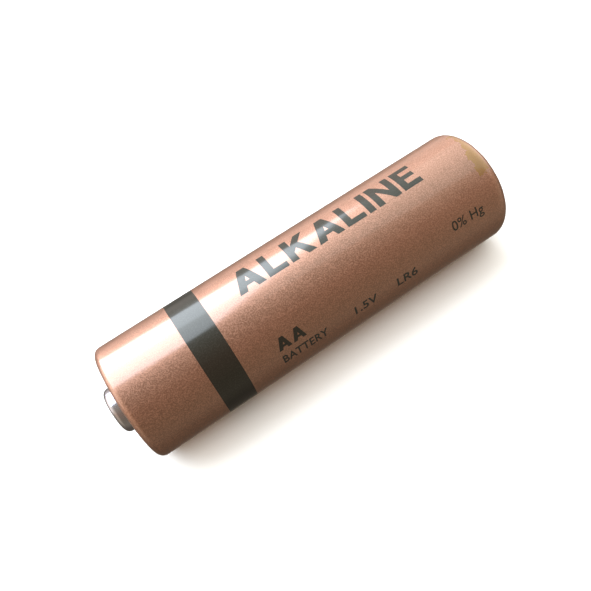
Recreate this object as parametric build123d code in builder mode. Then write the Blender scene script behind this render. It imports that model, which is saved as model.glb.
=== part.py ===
from build123d import *
import os
from math import cos, pi, sin

# A round alkaline cell of the AA size, lying on its side.
#
# Every piece is a body of revolution about the cell's own axis or is wound around it, so the
# pieces are drawn as half sections on one plane and revolved. A point of a section is (u, r):
# u is the distance from the negative contact face towards the positive terminal, and r is the
# distance from the cell's axis. The frame has +X along the axis, out of the negative end, and
# +Z up. X = 0 is half way between the two contact faces, and the cell rests on Z = 0 along the
# flat of its label's overlap seam.
# All sizes are in millimetres.

# Outside of the cell
contact_length = 50.3  # negative contact face to positive contact face
label_radius = 7.0
label_top = 48.72  # u of the label's end plane at the positive end
label_foot = 0.12  # and at the negative end
label_thickness = 0.10
label_shoulder_radius = 0.90  # outside corner at the positive end
label_crimp_radius = 1.70  # and over the rolled crimp at the negative end
label_top_edge = 5.55  # r of the shrunk film's two free edges
label_foot_edge = 5.15
seam_flat = 7.01  # distance from the axis to the flat outside of the film's overlap
seam_width = 2.0
seam_thickness = 0.09

# Drawn steel can, closed at the positive end
can_wall = 0.25
can_radius = label_radius - label_thickness
can_bore = can_radius - can_wall
can_top = label_top - label_thickness
can_shoulder_radius = label_shoulder_radius - label_thickness
can_floor_corner = 0.50
mouth_wall = 0.20  # the wall is thinned at the mouth, which leaves a ledge for the gasket
mouth_bore = can_radius - mouth_wall
mouth_depth = 5.0
crimp_crest = label_foot + label_thickness
crimp_radius = label_crimp_radius - label_thickness
crimp_lip = 4.95
terminal_radius = 2.72
terminal_corner = 0.70
terminal_foot = 0.30
recess_depth = 0.12  # shallow stamped ring around the terminal
recess_radius = 3.50
recess_slope = 0.35

# Negative cap, welded to the collector nail's head
cap_thickness = 0.25
plateau_radius = 4.20
plateau_corner = 0.45
cap_foot_radius = 4.55
cap_foot_corner = 0.15
cap_height = 1.10  # contact face to the top of the flange
cap_flange_radius = 5.70
cap_vent_radius = 0.25
cap_vent_depth = 0.78
cap_vents = 4

# Dished steel support washer
washer_thickness = 0.50
washer_radius = 6.05
washer_outer_bend = 4.90
washer_inner_bend = 3.70
washer_bore = 2.10
washer_dish = 1.05
washer_vent_radius = 0.45
washer_vent_pitch = 2.90
washer_vents = 3

# Moulded nylon gasket
collar_top = 0.28  # collar that keeps the can's lip away from the cap
collar_bore = 4.72
collar_corner = 0.08
hub_top = 2.10
hub_neck_radius = 1.95
hub_radius = 2.35
hub_bottom = 5.90
hub_corner = 0.20
gasket_wall_bore = 6.20
ledge_radius = 5.92  # small ledge under the washer's edge
ledge_slope = 0.45
web_inner = 3.70  # the web steps down from the hub to the outer wall
web_outer = 4.30
web_step_start = 3.25
web_step_end = 3.90
web_thickness = 0.35
web_corner = 0.30
groove_depth = 0.20  # the thinned ring that lets go first if pressure builds up
groove_width = 0.30
skirt_bore = 4.60
skirt_radius = 4.95
skirt_bottom = 5.85
skirt_corner = 0.10
sealant_width = 0.30
sealant_height = 0.25

# Brass collector nail
nail_radius = 0.70
nail_head_radius = 1.60
nail_head_thickness = 0.40
nail_collar_radius = 1.05
nail_collar_thickness = 0.30
nail_end = 36.0
nail_point_length = 1.20
nail_point_radius = 0.20

# Cathode, separator and anode
ring_count = 4
cathode_mouth = 5.95
cathode_bore = 4.55
ring_outer_chamfer = 0.50
ring_inner_chamfer = 0.20
cup_radius = 4.53
cup_rim_thickness = 0.10
cup_floor_thickness = 0.25
cup_corner = 0.15
cup_height = 2.0
sheet_mouth = 4.75
sheet_thickness = 0.09
sheet_pitch = 0.14
sheet_radius = 4.01  # inside of the first turn
sheet_half_turns = 4
gel_radius = 3.96
gel_mouth = 7.0

# Depths that follow from the sizes above
can_floor = can_top - can_wall
recess_top = can_top - recess_depth
recess_floor = recess_top - can_wall
crimp_inside = crimp_crest + mouth_wall
flange_bottom = cap_height + cap_thickness
washer_flat_bottom = flange_bottom + washer_thickness
hub_shoulder = washer_flat_bottom + washer_dish
web_inner_foot = web_inner + web_thickness
web_outer_foot = web_outer + web_thickness
nail_head_bottom = cap_thickness + nail_head_thickness
nail_collar_bottom = nail_head_bottom + nail_collar_thickness
cup_floor = recess_floor - cup_floor_thickness
ring_height = (can_floor - cathode_mouth) / ring_count
barrel_start = label_foot + label_crimp_radius  # straight part of the label
barrel_end = label_top - label_shoulder_radius

# The axis that everything is revolved about, from the negative contact face
axis_height = seam_flat
negative_face = (contact_length / 2, 0, axis_height)
cell_axis = Axis(negative_face, (-1, 0, 0))
section_plane = Plane(origin=negative_face, x_dir=(-1, 0, 0), z_dir=(0, 1, 0))


def cross_plane(u):
    """The plane across the cell at depth u, facing out of the negative end."""
    return Plane(
        origin=(contact_length / 2 - u, 0, axis_height), x_dir=(0, 1, 0), z_dir=(1, 0, 0)
    )


def radial_plane(u, angle):
    """The plane through the axis at depth u, facing outwards at an angle from +Y towards +Z."""
    turn = angle * pi / 180
    return Plane(origin=cross_plane(u).origin, x_dir=(1, 0, 0), z_dir=(0, cos(turn), sin(turn)))


def label_outline():
    """The label's outside outline, from the positive end's free edge to the negative end's."""
    FilletPolyline(
        (label_top, label_top_edge),
        (label_top, label_radius),
        (label_foot, label_radius),
        (label_foot, label_foot_edge),
        radius=[label_shoulder_radius, label_crimp_radius],
    )


def rounded_outline(*corners):
    """A closed outline through corners of (u, r, corner radius)."""
    FilletPolyline(
        *[(u, r) for u, r, radius in corners],
        radius=[radius for u, r, radius in corners],
        close=True,
    )


def write(piece, label):
    """Labels a finished piece and writes its STEP file."""
    piece.part.label = label
    export_step(piece.part, f"parts/{label}.step")


os.makedirs("parts", exist_ok=True)

# Steel can: terminal, shoulder, side wall and crimped lip are one drawn shell
with BuildPart() as steel_can:
    with BuildSketch(section_plane):
        with BuildLine():
            rounded_outline(
                (contact_length, 0, 0),
                (contact_length, terminal_radius, terminal_corner),
                (recess_top, terminal_radius, terminal_foot),
                (recess_top, recess_radius, 0),
                (can_top, recess_radius + recess_slope, 0),
                (can_top, can_radius, can_shoulder_radius),
                (crimp_crest, can_radius, crimp_radius),
                (crimp_crest, crimp_lip, 0),
                (crimp_inside, crimp_lip, 0),
                (crimp_inside, mouth_bore, crimp_radius - mouth_wall),
                (mouth_depth, mouth_bore, 0),
                (mouth_depth, can_bore, 0),
                (can_floor, can_bore, can_floor_corner),
                (can_floor, recess_radius + recess_slope, 0),
                (recess_floor, recess_radius, 0),
                (recess_floor, terminal_radius - can_wall, terminal_foot + can_wall),
                (
                    contact_length - can_wall,
                    terminal_radius - can_wall,
                    terminal_corner - can_wall,
                ),
                (contact_length - can_wall, 0, 0),
            )
        make_face()
    revolve(axis=cell_axis)
write(steel_can, "steel_can")

# Label: a shrunk film tube over both shoulders. Its overlap runs along the underside, where the
# double film stays flat, and that strip is what keeps the lying cell from rolling.
with BuildPart() as label_sleeve:
    with BuildSketch(section_plane):
        with BuildLine():
            label_outline()
            offset(amount=label_thickness, side=Side.LEFT, closed=True, mode=Mode.ADD)
        make_face()
    revolve(axis=cell_axis)
    with Locations((contact_length / 2 - (barrel_start + barrel_end) / 2, 0, 0)):
        Box(
            barrel_end - barrel_start,
            seam_width,
            seam_thickness,
            align=(Align.CENTER, Align.CENTER, Align.MIN),
        )
write(label_sleeve, "label_sleeve")

# Negative cap: a pressed hat with a flat contact face, a flange and small vents in its slope
with BuildPart() as negative_cap:
    with BuildSketch(section_plane):
        with BuildLine():
            FilletPolyline(
                (0, 0),
                (0, plateau_radius),
                (cap_height, cap_foot_radius),
                (cap_height, cap_flange_radius),
                radius=[plateau_corner, cap_foot_corner],
            )
            offset(amount=cap_thickness, side=Side.RIGHT, closed=True, mode=Mode.ADD)
        make_face()
    revolve(axis=cell_axis)
    for index in range(cap_vents):
        with BuildSketch(radial_plane(cap_vent_depth, 360 / cap_vents * (index + 0.5))):
            Circle(cap_vent_radius)
        extrude(amount=cap_foot_radius + cap_thickness, mode=Mode.SUBTRACT)
write(negative_cap, "negative_cap")

# Support washer: a dished spring-steel ring that backs the gasket's outer wall
with BuildPart() as support_washer:
    with BuildSketch(section_plane):
        Polygon(
            (flange_bottom, washer_radius),
            (flange_bottom, washer_outer_bend),
            (flange_bottom + washer_dish, washer_inner_bend),
            (flange_bottom + washer_dish, washer_bore),
            (hub_shoulder, washer_bore),
            (hub_shoulder, washer_inner_bend),
            (washer_flat_bottom, washer_outer_bend),
            (washer_flat_bottom, washer_radius),
            align=None,
        )
    revolve(axis=cell_axis)
    with BuildSketch(cross_plane(hub_shoulder)):
        with PolarLocations(washer_vent_pitch, washer_vents, start_angle=90):
            Circle(washer_vent_radius)
    extrude(amount=washer_thickness, mode=Mode.SUBTRACT)
write(support_washer, "support_washer")

# Gasket: hub round the nail, thin web with its vent groove, outer wall under the crimp, skirt
with BuildPart() as seal_gasket:
    with BuildSketch(section_plane):
        with BuildLine():
            rounded_outline(
                (collar_top, collar_bore, collar_corner),
                (collar_top, crimp_lip, collar_corner),
                (crimp_inside, crimp_lip, 0),
                (crimp_inside, mouth_bore, crimp_radius - mouth_wall),
                (mouth_depth, mouth_bore, 0),
                (mouth_depth, gasket_wall_bore, 0),
                (web_outer_foot, gasket_wall_bore, 0),
                (web_outer_foot, skirt_radius, 0),
                (skirt_bottom, skirt_radius, skirt_corner),
                (skirt_bottom, skirt_bore, skirt_corner),
                (web_outer_foot, skirt_bore, 0),
                (web_outer_foot, web_step_end, 0),
                (web_inner_foot, web_step_start, 0),
                (web_inner_foot, hub_radius + groove_width, 0),
                (web_inner_foot - groove_depth, hub_radius + groove_width, 0),
                (web_inner_foot - groove_depth, hub_radius, 0),
                (hub_bottom, hub_radius, hub_corner),
                (hub_bottom, nail_radius, 0),
                (hub_top, nail_radius, 0),
                (hub_top, hub_neck_radius, hub_corner),
                (hub_shoulder, hub_neck_radius, 0),
                (hub_shoulder, hub_radius, 0),
                (web_inner, hub_radius, 0),
                (web_inner, web_step_start, 0),
                (web_outer, web_step_end, 0),
                (web_outer, gasket_wall_bore, web_corner),
                (washer_flat_bottom + ledge_slope, gasket_wall_bore, 0),
                (washer_flat_bottom, ledge_radius, 0),
                (washer_flat_bottom, washer_radius, 0),
                (flange_bottom, washer_radius, 0),
                (flange_bottom, cap_flange_radius, 0),
                (cap_height, cap_flange_radius, 0),
                (cap_height, collar_bore, 0),
            )
        make_face()
    revolve(axis=cell_axis)
write(seal_gasket, "seal_gasket")

# Sealant: a bead of asphalt in the corner between the gasket's foot and the can
with BuildPart() as sealant_bead:
    with BuildSketch(section_plane):
        Polygon(
            (mouth_depth, can_bore),
            (mouth_depth + sealant_height, can_bore),
            (mouth_depth, can_bore - sealant_width),
            align=None,
        )
    revolve(axis=cell_axis)
write(sealant_bead, "sealant_bead")

# Collector nail: head welded inside the cap, shank down the middle of the anode
with BuildPart() as collector_nail:
    with BuildSketch(section_plane):
        Polygon(
            (cap_thickness, 0),
            (cap_thickness, nail_head_radius),
            (nail_head_bottom, nail_head_radius),
            (nail_head_bottom, nail_collar_radius),
            (nail_collar_bottom, nail_collar_radius),
            (nail_collar_bottom, nail_radius),
            (nail_end - nail_point_length, nail_radius),
            (nail_end, nail_point_radius),
            (nail_end, 0),
            align=None,
        )
    revolve(axis=cell_axis)
write(collector_nail, "collector_nail")

# Cathode: pressed rings stacked against the can's closed end
for index in range(ring_count):
    top = cathode_mouth + index * ring_height
    foot = top + ring_height
    with BuildPart() as cathode_ring:
        with BuildSketch(section_plane):
            Polygon(
                (top, cathode_bore + ring_inner_chamfer),
                (top + ring_inner_chamfer, cathode_bore),
                (foot - ring_inner_chamfer, cathode_bore),
                (foot, cathode_bore + ring_inner_chamfer),
                (foot, can_bore - ring_outer_chamfer),
                (foot - ring_outer_chamfer, can_bore),
                (top + ring_outer_chamfer, can_bore),
                (top, can_bore - ring_outer_chamfer),
                align=None,
            )
        revolve(axis=cell_axis)
    write(cathode_ring, f"cathode_ring_{index + 1}")

# Separator cup: closes the separator at the can's floor
with BuildPart() as separator_cup:
    with BuildSketch(section_plane):
        with BuildLine():
            rounded_outline(
                (recess_floor, 0, 0),
                (recess_floor, cup_radius, cup_corner),
                (recess_floor - cup_height, cup_radius, 0),
                (recess_floor - cup_height, cup_radius - cup_rim_thickness, 0),
                (cup_floor, cup_radius - cup_rim_thickness, cup_corner - cup_rim_thickness),
                (cup_floor, 0, 0),
            )
        make_face()
    revolve(axis=cell_axis)
write(separator_cup, "separator_cup")

# Separator: one sheet of paper wound as half turns whose centres step from side to side
with BuildPart() as separator_wrap:
    for index in range(sheet_half_turns):
        side = index % 2
        inner = sheet_radius + index * sheet_pitch / 2
        turn_plane = cross_plane(cup_floor).shift_origin(
            cross_plane(cup_floor).origin + Vector(0, side * sheet_pitch / 2, 0)
        )
        with BuildSketch(turn_plane):
            with BuildLine():
                CenterArc((0, 0), inner, 180 * side, 180)
                offset(amount=sheet_thickness, side=Side.RIGHT, closed=True, mode=Mode.ADD)
            make_face()
        extrude(amount=cup_floor - sheet_mouth)
write(separator_wrap, "separator_wrap")

# Zinc gel: the anode fills the separator and closes around the nail
with BuildPart() as zinc_gel:
    with BuildSketch(section_plane):
        Polygon(
            (gel_mouth, nail_radius),
            (gel_mouth, gel_radius),
            (cup_floor, gel_radius),
            (cup_floor, 0),
            (nail_end, 0),
            (nail_end, nail_point_radius),
            (nail_end - nail_point_length, nail_radius),
            align=None,
        )
    revolve(axis=cell_axis)
write(zinc_gel, "zinc_gel")
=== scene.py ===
import math

import bmesh
import bpy
from mathutils import Matrix, Vector, noise


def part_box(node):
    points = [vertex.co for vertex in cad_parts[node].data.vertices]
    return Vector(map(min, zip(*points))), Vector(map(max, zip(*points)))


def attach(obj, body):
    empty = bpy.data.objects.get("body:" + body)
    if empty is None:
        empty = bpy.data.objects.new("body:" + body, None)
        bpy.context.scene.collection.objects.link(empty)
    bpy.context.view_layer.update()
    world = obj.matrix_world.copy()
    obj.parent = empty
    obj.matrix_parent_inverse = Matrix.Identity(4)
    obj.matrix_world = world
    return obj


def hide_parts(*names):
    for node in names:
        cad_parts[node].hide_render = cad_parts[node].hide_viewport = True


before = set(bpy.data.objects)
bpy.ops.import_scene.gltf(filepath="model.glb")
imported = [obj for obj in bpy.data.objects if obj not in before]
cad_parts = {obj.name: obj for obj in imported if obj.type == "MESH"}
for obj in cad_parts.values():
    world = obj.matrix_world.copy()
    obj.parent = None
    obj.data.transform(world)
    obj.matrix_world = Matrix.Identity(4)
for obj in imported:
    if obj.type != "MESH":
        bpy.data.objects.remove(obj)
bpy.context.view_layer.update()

MM = 0.001

# ------------------------------------------------------------------------------------------
# Where things are. Lengths are in millimetres here, and metres() turns a point into the frame.
# An angle is measured round the cell's axis, in degrees, from +Y (the back) towards +Z (up):
# 90 is the top, 180 the front and 270 the underside, where the label's seam lies.

label_low, label_high = (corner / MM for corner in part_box("label_sleeve"))
label_radius = label_high.y
axis_height = label_high.z - label_radius
positive_end = label_low.x
negative_end = label_high.x

# Film label. Its looseness is 0 where it is tight and 1 at a free edge.
film_thickness = 0.08
shoulder_radius = 0.90
shoulder_looseness = 0.5
crimp_radius = 1.70
crimp_looseness = 0.9
positive_edge = 5.55  # radius of the free edge at each end
negative_edge = 5.15

# Its seam is flat underneath the barrel. Past the barrel it only stands up by the lap.
seam_angle = 270
seam_flat = axis_height
seam_reach = 8.1  # degrees to each side
seam_lap = 0.04
seam_fade = 3  # the lap is whole where the looseness is a third

# Its pleats come from a noise, read on a circle that is larger for narrower pleats
pleats = 8.0
pleat_height = 0.10
pleat_bias = 0.1
end_shift = 7.0  # keeps the two ends' pleats different

# Its mesh
columns = 360
fold_steps = 4
barrel_steps = 60
arc_steps = 12

# Printing: the black band, then how far the words stand above the film and how deep they go
band_start = positive_end + 8.97
band_end = positive_end + 12.53
ink_lift = 0.006
ink_thickness = 0.03
ink_slices = 16
film_radius = label_radius - ink_lift

# Words: piece, text, boldness of the plain typeface or None for block capitals, the two places
# along the axis that it lies between, and the angles of its top and bottom
words = (
    ("word_chemistry", "ALKALINE", None, -7.2, 17.0, 67.0, 95.2),
    ("word_size", "AA", None, -6.9, -3.4, 144.2, 157.4),
    ("word_kind", "BATTERY", 0.02, -6.9, -1.1, 163.3, 173.1),
    ("word_voltage", "1.5V", 0.02, 2.6, 5.6, 162.2, 171.6),
    ("word_code", "LR6", 0.02, 8.4, 11.2, 161.5, 171.4),
    ("word_mercury", "0% Hg", 0.01, 16.8, 21.2, 143.0, 156.0),
)

# The patch of thin ink on the negative shoulder: how far its two sides lie from the label's end,
# the height where it starts, how ragged and how soft its edge is, and how much wider it is at
# the front and at the back of its reach to each side of the axis
patch_inner = 1.75
patch_outer = 0.95
patch_floor = 12.85
patch_ragged = 0.7
patch_edge = 0.05
patch_reach = 3.0
patch_widening = (0.45, -0.30)

# The studio's walls: direction round the X axis, from the back over the top to the front, and
# the light from there as a share of the brightest
wall_light = 2.5
studio_walls = (
    (-180, (0.285, 0.240, 0.172)),
    (-150, (0.310, 0.268, 0.200)),
    (-125, (0.165, 0.140, 0.107)),
    (-90, (0.125, 0.105, 0.082)),
    (-45, (0.30, 0.265, 0.225)),
    (-20, (0.30, 0.27, 0.235)),
    (-5, (1.00, 0.89, 0.79)),
    (10, (1.00, 0.89, 0.79)),
    (25, (1.00, 0.89, 0.79)),
    (50, (0.80, 0.74, 0.65)),
    (90, (0.53, 0.49, 0.415)),
    (115, (0.47, 0.395, 0.305)),
    (140, (0.370, 0.265, 0.190)),
    (180, (0.285, 0.240, 0.172)),
)
# The same along the X axis, from the positive end's side to the negative end's
studio_length = (
    (-0.85, 1.0),
    (-0.5, 0.42),
    (0.1, 0.42),
    (0.5, 0.54),
    (0.65, 0.66),
    (0.85, 0.75),
)
# What the camera sees where the floor ends, in place of the walls
backdrop_level = 0.92

# Lamps: place in metres, direction of the height, width, height, watts and colour
daylight = (0.86, 0.98, 1.10)
window_edge = (-0.33, -0.82, 0.46)
lamps = {
    "window": ((-0.079, 0.144, 0.180), window_edge, 0.30, 0.285, 1.02, daylight),
    "window_low": ((-0.056, 0.202, 0.147), window_edge, 0.30, 0.142, 0.24, daylight),
    "side_box": ((0.27, 0.096, 0.270), (0, -0.92, 0.40), 0.56, 0.48, 0.31, (0.81, 1.12, 1.12)),
    "fill": ((0, 0, 0.5), (0, 1, 0), 0.5, 0.5, 2.6, (1, 1, 1)),
}
floor_size = 0.9

# Plain block capitals: width, then closed outlines in shares of the letters' height
glyph_gap = 0.12
glyphs = {
    "A": (0.92, [
        [
            (0, 0), (0.27, 0), (0.335, 0.20), (0.585, 0.20), (0.65, 0), (0.92, 0), (0.595, 1),
            (0.325, 1),
        ],
        [(0.394, 0.38), (0.526, 0.38), (0.46, 0.585)],
    ]),
    "E": (0.70, [[
        (0, 0), (0.70, 0), (0.70, 0.20), (0.24, 0.20), (0.24, 0.41), (0.64, 0.41), (0.64, 0.60),
        (0.24, 0.60), (0.24, 0.80), (0.70, 0.80), (0.70, 1), (0, 1),
    ]]),
    "I": (0.24, [[(0, 0), (0.24, 0), (0.24, 1), (0, 1)]]),
    "K": (0.88, [[
        (0, 0), (0.24, 0), (0.24, 0.30), (0.37, 0.45), (0.59, 0), (0.88, 0), (0.53, 0.62),
        (0.84, 1), (0.54, 1), (0.24, 0.62), (0.24, 1), (0, 1),
    ]]),
    "L": (0.70, [[(0, 0), (0.70, 0), (0.70, 0.20), (0.24, 0.20), (0.24, 1), (0, 1)]]),
    "N": (0.86, [[
        (0, 0), (0.23, 0), (0.23, 0.62), (0.63, 0), (0.86, 0), (0.86, 1), (0.63, 1), (0.63, 0.38),
        (0.23, 1), (0, 1),
    ]]),
}

# Camera, as seen from the middle of the label's positive end
camera_offset = 9.39
camera_distance = 73.8
camera_elevation = 59.0
camera_pan = 10.0
camera_roll = -33.0
camera_lens = 39.35
camera_sensor = 36.0
camera_near = 1


def metres(x, r, angle):
    """The point at x along the axis, r from it, and this angle round it, in the frame."""
    turn = math.radians(angle)
    return Vector((x, r * math.cos(turn), axis_height + r * math.sin(turn))) * MM


def add_object(name, mesh, node=None):
    """Links a mesh as a piece on the one body, and hides the node it stands for."""
    piece = bpy.data.objects.new(name, mesh)
    bpy.context.scene.collection.objects.link(piece)
    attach(piece, "root")
    if node:
        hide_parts(node)
    return piece


def thicken(piece, thickness):
    """Gives a sheet this thickness, inwards from its outside."""
    solid = piece.modifiers.new("thickness", "SOLIDIFY")
    solid.thickness = thickness * MM
    solid.offset = -1.0


# ------------------------------------------------------------------------------------------
# Materials


class Surface:
    """A material under construction: its shader, and short ways to add and join nodes."""

    def __init__(self, name, **values):
        self.material = bpy.data.materials.new(name)
        self.material.use_nodes = True
        self.tree = self.material.node_tree
        self.shader = self.tree.nodes["Principled BSDF"]
        for socket, value in values.items():
            self.shader.inputs[socket.replace("_", " ")].default_value = value
        self.place = self.node("ShaderNodeMapping", Scale=(1 / MM, 1 / MM, 1 / MM))
        self.join(self.node("ShaderNodeTexCoord").outputs["Object"], self.place, "Vector")

    def node(self, kind, **values):
        made = self.tree.nodes.new(kind)
        for socket, value in values.items():
            made.inputs[socket.replace("_", " ")].default_value = value
        return made

    def join(self, output, node, socket):
        self.tree.links.new(output, node.inputs[socket])

    def noise(self, per_mm, detail=2.0, roughness=0.5, stretch=(1, 1, 1)):
        """Noise with this many features to the millimetre, as a number from 0 to 1."""
        place = self.node("ShaderNodeMapping", Scale=stretch)
        self.join(self.place.outputs["Vector"], place, "Vector")
        made = self.node(
            "ShaderNodeTexNoise", Scale=per_mm, Detail=detail, Roughness=roughness
        )
        self.join(place.outputs["Vector"], made, "Vector")
        return made.outputs["Fac"]

    def spread(self, value, low, high, new_low=0.0, new_high=1.0):
        """Maps a number's range from low and high to new_low and new_high."""
        made = self.node(
            "ShaderNodeMapRange",
            **{"From Min": low, "From Max": high, "To Min": new_low, "To Max": new_high},
        )
        self.join(value, made, "Value")
        return made.outputs["Result"]

    def blend(self, amount, first, second):
        """Mixes two colours, each a colour or an output, by a number."""
        made = self.tree.nodes.new("ShaderNodeMix")
        made.data_type = "RGBA"
        self.tree.links.new(amount, made.inputs["Factor"])
        for socket, colour in ((6, first), (7, second)):
            if isinstance(colour, tuple):
                made.inputs[socket].default_value = (*colour, 1.0)
            else:
                self.tree.links.new(colour, made.inputs[socket])
        return made.outputs[2]

    def total(self, first, second):
        """Adds two numbers."""
        made = self.node("ShaderNodeMath")
        self.tree.links.new(first, made.inputs[0])
        self.tree.links.new(second, made.inputs[1])
        return made.outputs[0]

    def bump(self, height, distance_mm, strength=1.0, under=None):
        """Adds relief of this depth, on top of any other bump."""
        made = self.node("ShaderNodeBump", Strength=strength, Distance=distance_mm * MM)
        self.join(height, made, "Height")
        if under:
            self.join(under, made, "Normal")
        self.join(made.outputs["Normal"], self.shader, "Normal")
        return made.outputs["Normal"]


def film_relief(s, grain, grain_depth):
    """Slow waves and drawn streaks where the film has shrunk, with the print's grain on top."""
    waves = s.bump(s.noise(0.45, 1.0, stretch=(0.35, 1, 1)), 0.03, 0.5)
    streaks = s.bump(s.noise(2.2, 2.0, stretch=(0.12, 1, 1)), 0.006, 0.5, waves)
    s.join(streaks, s.shader, "Coat Normal")
    s.bump(grain, grain_depth, 0.5, streaks)


def copper_film():
    s = Surface("copper_film", Metallic=1.0, Coat_Weight=1.0, Coat_Roughness=0.15, Coat_IOR=1.8)
    s.shader.inputs["Specular Tint"].default_value = (0.80, 0.55, 0.42, 1)
    grain = s.noise(8.0, 1.0, 0.6)
    cloud = s.noise(0.3, 2.0)
    tone = s.blend(s.spread(cloud, 0.3, 0.7), (0.330, 0.166, 0.112), (0.357, 0.181, 0.122))
    flakes = s.blend(s.spread(grain, 0.42, 0.64), tone, (0.53, 0.281, 0.200))
    # A patch on top of the negative shoulder where the copper ink is thin and its base shows
    parts = s.node("ShaderNodeSeparateXYZ")
    s.join(s.place.outputs["Vector"], parts, "Vector")
    ragged = s.spread(s.noise(0.9, 4.0, 0.6), 0.3, 0.7, -patch_ragged, patch_ragged)
    slant = s.spread(parts.outputs["Y"], -patch_reach, patch_reach, *patch_widening)
    along = s.total(parts.outputs["X"], s.total(slant, ragged))
    height = s.total(parts.outputs["Z"], ragged)
    inner = negative_end - patch_inner
    outer = negative_end - patch_outer
    above = s.spread(height, patch_floor, patch_floor + patch_edge)
    past_inner = s.spread(along, inner, inner + patch_edge)
    past_outer = s.spread(parts.outputs["X"], outer, outer + 2 * patch_edge)
    thin = s.blend(above, flakes, (0.36, 0.192, 0.066))
    thin = s.blend(past_inner, flakes, thin)
    thin = s.blend(past_outer, thin, flakes)
    s.join(thin, s.shader, "Base Color")
    s.join(s.spread(grain, 0.40, 0.64, 0.36, 0.60), s.shader, "Roughness")
    film_relief(s, grain, 0.018)
    return s.material


def black_ink():
    s = Surface("black_ink", Metallic=1.0, Coat_Weight=0.8, Coat_Roughness=0.14, Coat_IOR=1.7)
    s.shader.inputs["Specular Tint"].default_value = (0.40, 0.40, 0.40, 1)
    grain = s.noise(7.5, 2.0, 0.6)
    s.join(
        s.blend(s.spread(grain, 0.45, 0.72), (0.031, 0.030, 0.025), (0.050, 0.049, 0.042)),
        s.shader,
        "Base Color",
    )
    s.join(s.spread(grain, 0.3, 0.7, 0.42, 0.50), s.shader, "Roughness")
    film_relief(s, grain, 0.007)
    return s.material


def plated_steel(name, colour, roughness):
    s = Surface(name, Metallic=1.0)
    cloud = s.noise(0.8, 3.0)
    fine = s.noise(9.0, 3.0, 0.6, (0.15, 1, 1))
    darker = tuple(c * 0.90 for c in colour)
    s.join(s.blend(s.spread(cloud, 0.3, 0.7), darker, colour), s.shader, "Base Color")
    s.join(
        s.spread(fine, 0.3, 0.7, roughness - 0.06, roughness + 0.08), s.shader, "Roughness"
    )
    s.bump(fine, 0.004, 0.5)
    return s.material


def brass():
    s = Surface("drawn_brass", Metallic=1.0, Roughness=0.28)
    streak = s.noise(6.0, 3.0, 0.6, (0.06, 1, 1))
    s.join(
        s.blend(s.spread(streak, 0.3, 0.7), (0.62, 0.42, 0.16), (0.80, 0.60, 0.28)),
        s.shader,
        "Base Color",
    )
    s.bump(streak, 0.006, 0.6)
    return s.material


def nylon():
    s = Surface("moulded_nylon", Roughness=0.42, Subsurface_Weight=0.15)
    s.shader.inputs["Subsurface Radius"].default_value = (0.6 * MM, 0.5 * MM, 0.4 * MM)
    cloud = s.noise(1.2, 2.0)
    s.join(
        s.blend(s.spread(cloud, 0.3, 0.7), (0.70, 0.67, 0.58), (0.80, 0.78, 0.70)),
        s.shader,
        "Base Color",
    )
    s.bump(s.noise(8.0, 2.0), 0.006, 0.5)
    return s.material


def asphalt():
    s = Surface("soft_asphalt", Roughness=0.35)
    lumps = s.noise(3.0, 3.0)
    s.join(
        s.blend(s.spread(lumps, 0.3, 0.7), (0.010, 0.010, 0.011), (0.030, 0.028, 0.026)),
        s.shader,
        "Base Color",
    )
    s.bump(lumps, 0.05, 0.6)
    return s.material


def pressed_powder(name, dark, light, metallic, roughness, per_mm):
    s = Surface(name, Metallic=metallic, Roughness=roughness)
    grains = s.node("ShaderNodeTexVoronoi", Scale=per_mm)
    s.join(s.place.outputs["Vector"], grains, "Vector")
    cloud = s.noise(0.7, 3.0)
    shade = s.blend(grains.outputs["Distance"], light, dark)
    s.join(s.blend(s.spread(cloud, 0.3, 0.7), dark, shade), s.shader, "Base Color")
    s.bump(grains.outputs["Distance"], 0.04, 0.7)
    return s.material


def paper():
    s = Surface("separator_paper", Roughness=0.92)
    fibres = s.noise(7.0, 4.0, 0.7, (0.25, 1, 1))
    s.join(
        s.blend(s.spread(fibres, 0.3, 0.7), (0.62, 0.60, 0.54), (0.82, 0.81, 0.77)),
        s.shader,
        "Base Color",
    )
    s.bump(fibres, 0.02, 0.7)
    return s.material


def floor_paper():
    s = Surface("studio_floor", Roughness=0.85)
    s.shader.inputs["Specular IOR Level"].default_value = 0.2
    cloud = s.noise(0.02, 2.0)
    s.join(
        s.blend(s.spread(cloud, 0.3, 0.7), (0.80, 0.80, 0.795), (0.82, 0.82, 0.815)),
        s.shader,
        "Base Color",
    )
    return s.material


# ------------------------------------------------------------------------------------------
# Label: one sheet of film, shrunk over both shoulders, with pleats at its two free edges


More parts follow.
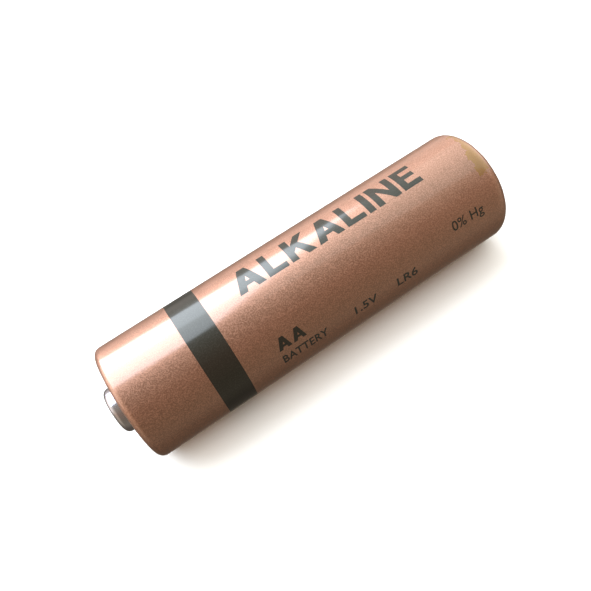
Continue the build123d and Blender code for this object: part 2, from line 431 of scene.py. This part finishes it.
def film_outline():
    """(x, r, direction the film faces in degrees, looseness) from one free edge to the other.

    The facing direction is 180 out of the positive end, 90 on the barrel and 0 out of the
    negative end."""
    shoulder_x = positive_end + shoulder_radius
    shoulder_r = film_radius - shoulder_radius
    crimp_x = negative_end - crimp_radius
    crimp_r = film_radius - crimp_radius
    points = []
    for step in range(fold_steps):
        part = step / fold_steps
        r = positive_edge + (shoulder_r - positive_edge) * part
        points.append((positive_end, r, 180, 1 - (1 - shoulder_looseness) * part))
    for step in range(arc_steps):
        part = step / arc_steps
        facing = 180 - 90 * part
        turn = math.radians(facing)
        points.append(
            (
                shoulder_x + shoulder_radius * math.cos(turn),
                shoulder_r + shoulder_radius * math.sin(turn),
                facing,
                shoulder_looseness * (1 - part),
            )
        )
    barrel = crimp_x - shoulder_x
    stations = {shoulder_x + barrel * step / barrel_steps for step in range(barrel_steps)}
    stations |= {band_start, band_end}
    points += [(x, film_radius, 90, 0) for x in sorted(stations)]
    for step in range(arc_steps + 1):
        part = step / arc_steps
        facing = 90 - 90 * part
        turn = math.radians(facing)
        points.append(
            (
                crimp_x + crimp_radius * math.cos(turn),
                crimp_r + crimp_radius * math.sin(turn),
                facing,
                crimp_looseness * part,
            )
        )
    points.append((negative_end, negative_edge, 0, 1))
    return points


def film_height(angle, looseness, side):
    """How far the film stands off its outline at an angle round the cell."""
    turn = math.radians(angle)
    place = Vector((pleats * math.cos(turn), pleats * math.sin(turn), end_shift * side))
    pleat = max(0.0, noise.noise(place) + pleat_bias)
    height = pleat_height * pleat * looseness**2
    from_seam = abs((angle - seam_angle + 180) % 360 - 180)
    if from_seam < seam_reach:
        flat = seam_flat / math.cos(math.radians(from_seam)) - film_radius
        height += flat if looseness == 0 else seam_lap * min(1.0, seam_fade * looseness)
    return height


def make_label():
    bm = bmesh.new()
    rows = []
    for x, r, facing, looseness in film_outline():
        side = 1 if x > 0 else -1
        row = []
        for column in range(columns):
            angle = 360 * column / columns
            height = film_height(angle, looseness, side)
            turn = math.radians(facing)
            row.append(
                bm.verts.new(
                    metres(x + height * math.cos(turn), r + height * math.sin(turn), angle)
                )
            )
        rows.append((x, row))
    for (x, row), (next_x, next_row) in zip(rows, rows[1:]):
        middle = (x + next_x) / 2
        for column in range(columns):
            right = (column + 1) % columns
            face = bm.faces.new((row[column], next_row[column], next_row[right], row[right]))
            face.smooth = True
            face.material_index = 1 if band_start < middle < band_end else 0
    bmesh.ops.recalc_face_normals(bm, faces=bm.faces)
    mesh = bpy.data.meshes.new("label_film")
    bm.to_mesh(mesh)
    bm.free()
    mesh.materials.append(bpy.data.materials["copper_film"])
    mesh.materials.append(bpy.data.materials["black_ink"])
    label = add_object("label_film", mesh, node="label_sleeve")
    thicken(label, film_thickness)


def block_letters(name, text):
    """A flat curve of block capitals."""
    curve = bpy.data.curves.new(name, "CURVE")
    curve.dimensions = "2D"
    curve.fill_mode = "FRONT"
    start = 0
    for letter in text:
        width, outlines = glyphs[letter]
        for outline in outlines:
            spline = curve.splines.new("POLY")
            spline.points.add(len(outline) - 1)
            for point, (x, y) in zip(spline.points, outline):
                point.co = (start + x, y, 0, 1)
            spline.use_cyclic_u = True
        start += width + glyph_gap
    return curve


def plain_letters(name, text, weight):
    """A flat curve of the plain built-in typeface, made bolder by this weight."""
    curve = bpy.data.curves.new(name, "FONT")
    curve.body = text
    curve.offset = weight
    curve.space_character = 1 + 2.5 * weight
    return curve


def make_print(curve, x_start, x_end, top, bottom):
    """Prints a flat curve on the barrel, between two places along the axis and two angles."""
    flat = bpy.data.objects.new(curve.name, curve)
    bpy.context.scene.collection.objects.link(flat)
    mesh = bpy.data.meshes.new_from_object(
        flat.evaluated_get(bpy.context.evaluated_depsgraph_get())
    )
    bpy.data.objects.remove(flat)
    bm = bmesh.new()
    bm.from_mesh(mesh)
    low = Vector([min(v.co[i] for v in bm.verts) for i in range(3)])
    high = Vector([max(v.co[i] for v in bm.verts) for i in range(3)])
    for cut in range(1, ink_slices):
        level = low.y + (high.y - low.y) * cut / ink_slices
        bmesh.ops.bisect_plane(
            bm,
            geom=bm.verts[:] + bm.edges[:] + bm.faces[:],
            plane_co=(0, level, 0),
            plane_no=(0, 1, 0),
        )
    for vert in bm.verts:
        along = (vert.co.x - low.x) / (high.x - low.x)
        up = (vert.co.y - low.y) / (high.y - low.y)
        vert.co = metres(
            x_start + (x_end - x_start) * along,
            label_radius,
            bottom + (top - bottom) * up,
        )
    for face in bm.faces:
        face.smooth = True
    for edge in bm.edges:
        edge.smooth = not edge.is_boundary
    bm.to_mesh(mesh)
    bm.free()
    mesh.materials.clear()
    mesh.materials.append(bpy.data.materials["black_ink"])
    word = add_object(curve.name, mesh)
    thicken(word, ink_thickness)


# ------------------------------------------------------------------------------------------
# Camera, floor and light


def make_camera():
    """The camera looks down at the cell from the front, turned so that the cell runs uphill."""
    elevation = math.radians(camera_elevation)
    pan = math.radians(camera_pan)
    toward = Vector((0, -math.cos(elevation), math.sin(elevation)))
    ahead = Vector((math.sin(pan), 0, 0)) - math.cos(pan) * toward
    across = Vector((0, math.sin(elevation), math.cos(elevation)))
    right = ahead.cross(across).normalized()
    up = right.cross(ahead)
    facing = Matrix((right, up, -ahead)).transposed()
    camera = bpy.data.objects.new("camera", bpy.data.cameras.new("camera"))
    camera.data.lens = camera_lens
    camera.data.sensor_width = camera_sensor
    camera.data.clip_start = camera_near * MM
    place = Vector((positive_end + camera_offset, 0, axis_height)) + camera_distance * toward
    roll = Matrix.Rotation(math.radians(camera_roll), 4, "Z")
    camera.matrix_world = Matrix.Translation(place * MM) @ facing.to_4x4() @ roll
    bpy.context.scene.collection.objects.link(camera)
    bpy.context.scene.camera = camera


def make_floor():
    bpy.ops.mesh.primitive_plane_add(size=floor_size, location=(0, 0, 0))
    floor = bpy.context.object
    floor.name = "floor"
    floor.data.materials.append(floor_paper())
    floor.visible_glossy = False


def make_softbox(name, place, edge, width, height, power, colour):
    """A rectangular light facing the cell, with its height along the edge's direction."""
    light = bpy.data.lights.new(name, "AREA")
    light.shape = "RECTANGLE"
    light.size = width
    light.size_y = height
    light.energy = power
    light.color = colour
    back = (Vector(place) - Vector((0, 0, axis_height * MM))).normalized()
    side = Vector(edge).cross(back).normalized()
    facing = Matrix((side, back.cross(side), back)).transposed()
    box = bpy.data.objects.new(name, light)
    box.matrix_world = Matrix.Translation(place) @ facing.to_4x4()
    bpy.context.scene.collection.objects.link(box)
    return box


def make_world():
    """A studio whose walls go from bright behind the cell, over the top, to dim in front."""
    world = bpy.data.worlds.new("studio")
    world.use_nodes = True
    tree = world.node_tree

    def ramp(value, low, high, levels):
        share = tree.nodes.new("ShaderNodeMapRange")
        share.inputs["From Min"].default_value = low
        share.inputs["From Max"].default_value = high
        tree.links.new(value, share.inputs["Value"])
        made = tree.nodes.new("ShaderNodeValToRGB")
        tree.links.new(share.outputs["Result"], made.inputs["Fac"])
        stops = made.color_ramp.elements
        stops.remove(stops[1])
        for place, colour in levels:
            stops.new((place - low) / (high - low)).color = (*colour, 1)
        stops.remove(stops[0])
        return made.outputs["Color"]

    direction = tree.nodes.new("ShaderNodeTexCoord")
    parts = tree.nodes.new("ShaderNodeSeparateXYZ")
    tree.links.new(direction.outputs["Generated"], parts.inputs[0])
    angle = tree.nodes.new("ShaderNodeMath")
    angle.operation = "ARCTAN2"
    tree.links.new(parts.outputs["Z"], angle.inputs[0])
    tree.links.new(parts.outputs["Y"], angle.inputs[1])
    round_walls = [(math.radians(degrees), colour) for degrees, colour in studio_walls]
    end_walls = [(x, (light, light, light)) for x, light in studio_length]
    product = tree.nodes.new("ShaderNodeMix")
    product.data_type = "RGBA"
    product.blend_type = "MULTIPLY"
    product.inputs["Factor"].default_value = 1.0
    tree.links.new(ramp(angle.outputs[0], -math.pi, math.pi, round_walls), product.inputs[6])
    tree.links.new(ramp(parts.outputs["X"], -1, 1, end_walls), product.inputs[7])
    walls = tree.nodes["Background"]
    walls.inputs["Strength"].default_value = wall_light
    backdrop = tree.nodes.new("ShaderNodeMix")
    backdrop.data_type = "RGBA"
    backdrop.inputs[7].default_value = (*(backdrop_level / wall_light,) * 3, 1)
    seen = tree.nodes.new("ShaderNodeLightPath")
    tree.links.new(seen.outputs["Is Camera Ray"], backdrop.inputs["Factor"])
    tree.links.new(product.outputs[2], backdrop.inputs[6])
    tree.links.new(backdrop.outputs[2], walls.inputs["Color"])
    bpy.context.scene.world = world


def make_light():
    for name, lamp in lamps.items():
        box = make_softbox(name, *lamp)
        box.visible_glossy = name != "fill"
    make_world()
    bpy.context.scene.view_settings.view_transform = "Standard"


# ------------------------------------------------------------------------------------------

copper_film()
black_ink()
make_camera()
make_floor()
make_light()
make_label()
for name, text, weight, x_start, x_end, top, bottom in words:
    curve = block_letters(name, text) if weight is None else plain_letters(name, text, weight)
    make_print(curve, x_start, x_end, top, bottom)

finishes = {
    "steel_can": plated_steel("can_nickel", (0.48, 0.465, 0.52), 0.17),
    "negative_cap": plated_steel("cap_nickel", (0.70, 0.69, 0.74), 0.22),
    "support_washer": plated_steel("washer_steel", (0.50, 0.50, 0.50), 0.40),
    "collector_nail": brass(),
    "seal_gasket": nylon(),
    "sealant_bead": asphalt(),
    "zinc_gel": pressed_powder(
        "zinc_paste", (0.16, 0.165, 0.175), (0.42, 0.43, 0.45), 0.5, 0.5, 4.0
    ),
    "separator_cup": paper(),
}
finishes["separator_wrap"] = finishes["separator_cup"]
cathode_mix = pressed_powder(
    "cathode_mix", (0.012, 0.012, 0.013), (0.05, 0.05, 0.055), 0.3, 0.6, 5.0
)
for name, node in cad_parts.items():
    if name.startswith("cathode_ring"):
        finishes[name] = cathode_mix
    if name in finishes:
        node.data.materials.clear()
        node.data.materials.append(finishes[name])
